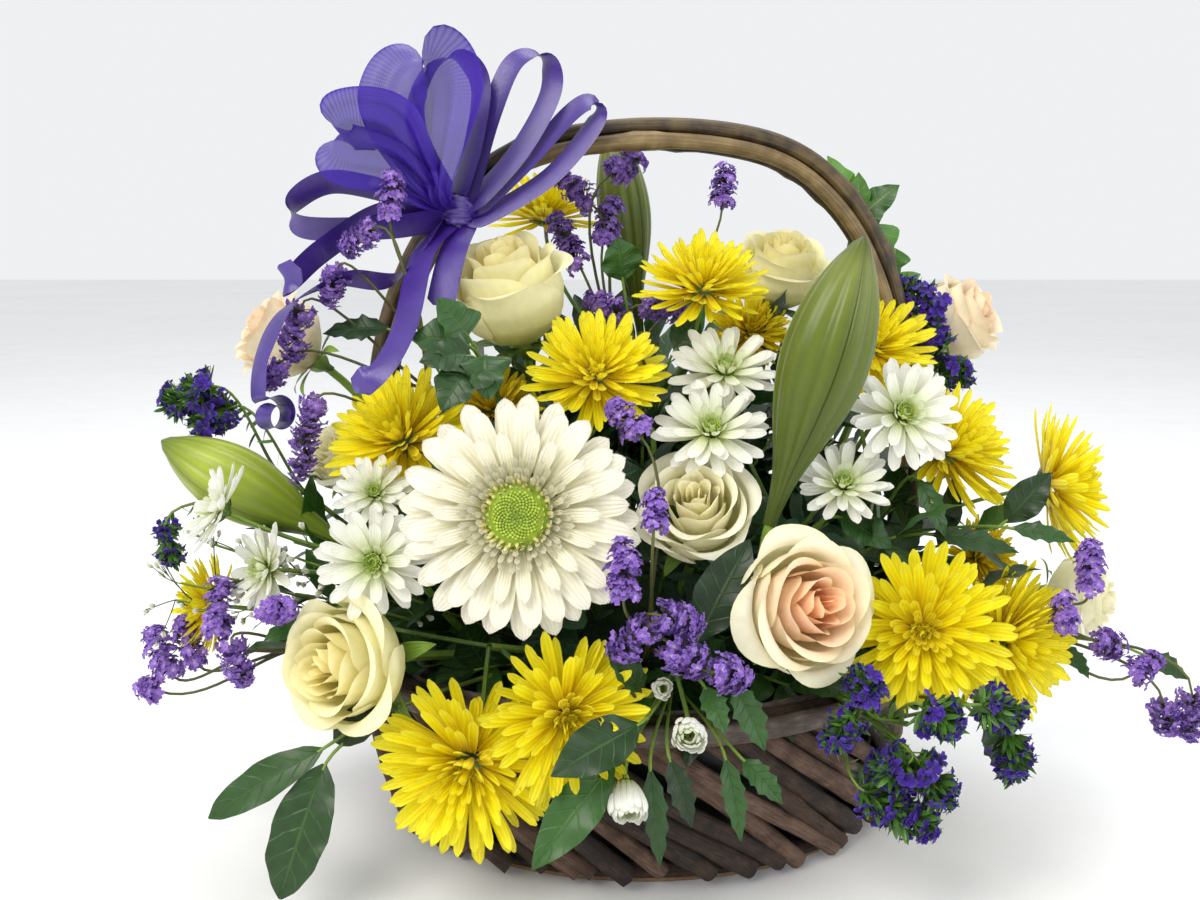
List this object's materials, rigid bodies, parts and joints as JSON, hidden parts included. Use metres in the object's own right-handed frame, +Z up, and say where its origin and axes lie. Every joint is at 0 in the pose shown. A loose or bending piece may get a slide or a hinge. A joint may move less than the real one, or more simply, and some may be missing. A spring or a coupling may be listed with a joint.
{
  "type": "flower basket arrangement",
  "caption": "Oval twig basket with an arched handle and a ribbon bow, filled with roses, chrysanthemums, a gerbera, lily buds, statice and foliage.",
  "frame": {"origin": "middle of the basket's underside, on the surface it stands on", "axes": "+Z up, -Y the front of the arrangement, +X to the viewer's right along the basket's long axis and the handle"},
  "size_m": [0.4978, 0.3047, 0.3831],
  "materials": {
    "bark_twig": "dry dark bark",
    "bark_rod": "smooth olive-brown bark with small knots",
    "floor_board": "plain raw board",
    "liner_film": "dark waterproof liner",
    "wet_foam": "dark green wet floral foam, dull and porous",
    "satin_ribbon": "violet satin with a strong sheen",
    "organza_ribbon": "thin see-through violet organza",
    "white_petal": "soft matt petal",
    "yellow_petal": "soft matt petal",
    "cream_petal": "velvety cream petal",
    "peach_petal": "velvety peach petal",
    "flower_disc": "lime and yellow packed florets",
    "bud_green": "waxy green bud",
    "stem_green": "waxy green stem",
    "leaf_green": "dark green leaf with light veins",
    "lilac_floret": "crinkled papery florets",
    "violet_floret": "crinkled papery florets"
  },
  "bodies": {
    "root": {"basket_floor": "floor_board", "basket_wall": "bark_twig", "bow_organza": "organza_ribbon", "bow_satin": "satin_ribbon", "foam": "wet_foam", "foliage_back_left": "leaf_green", "foliage_back_right": "leaf_green", "gerbera_disc": "flower_disc", "gerbera_petals": "white_petal", "gerbera_stem": "stem_green", "handle_rod_back": "bark_rod", "handle_rod_front": "bark_rod", "handle_rod_outer": "bark_rod", "ivy_sprig_left": "leaf_green", "ivy_sprig_right": "leaf_green", "leaf_sprig_low_left": "leaf_green", "lily_bud_1": "bud_green", "lily_bud_2": "bud_green", "lily_bud_3": "bud_green", "limonium_back": "lilac_floret", "limonium_far_left": "lilac_floret", "limonium_front": "lilac_floret", "limonium_right": "lilac_floret", "limonium_upper_left": "lilac_floret", "liner": "liner_film", "rose_1": "cream_petal", "rose_2": "cream_petal", "rose_3": "cream_petal", "rose_4": "cream_petal", "rose_5": "peach_petal", "rose_6": "peach_petal", "rose_7": "peach_petal", "rose_8": "cream_petal", "rose_9": "cream_petal", "statice_front_right": "violet_floret", "statice_left": "violet_floret", "statice_right_back": "violet_floret", "white_mum_spray_front": "white_petal", "white_mum_spray_left": "white_petal", "white_mum_spray_right": "white_petal", "yellow_mum_1": "yellow_petal", "yellow_mum_10": "yellow_petal", "yellow_mum_11": "yellow_petal", "yellow_mum_12": "yellow_petal", "yellow_mum_13": "yellow_petal", "yellow_mum_14": "yellow_petal", "yellow_mum_15": "yellow_petal", "yellow_mum_2": "yellow_petal", "yellow_mum_3": "yellow_petal", "yellow_mum_4": "yellow_petal", "yellow_mum_5": "yellow_petal", "yellow_mum_6": "yellow_petal", "yellow_mum_7": "yellow_petal", "yellow_mum_8": "yellow_petal", "yellow_mum_9": "yellow_petal", "yellow_mum_stem_back": "stem_green", "yellow_mum_stem_left": "stem_green", "yellow_mum_stem_low_left": "stem_green", "yellow_mum_stem_low_right": "stem_green", "yellow_mum_stem_right": "stem_green"}
  },
  "joints": []
}
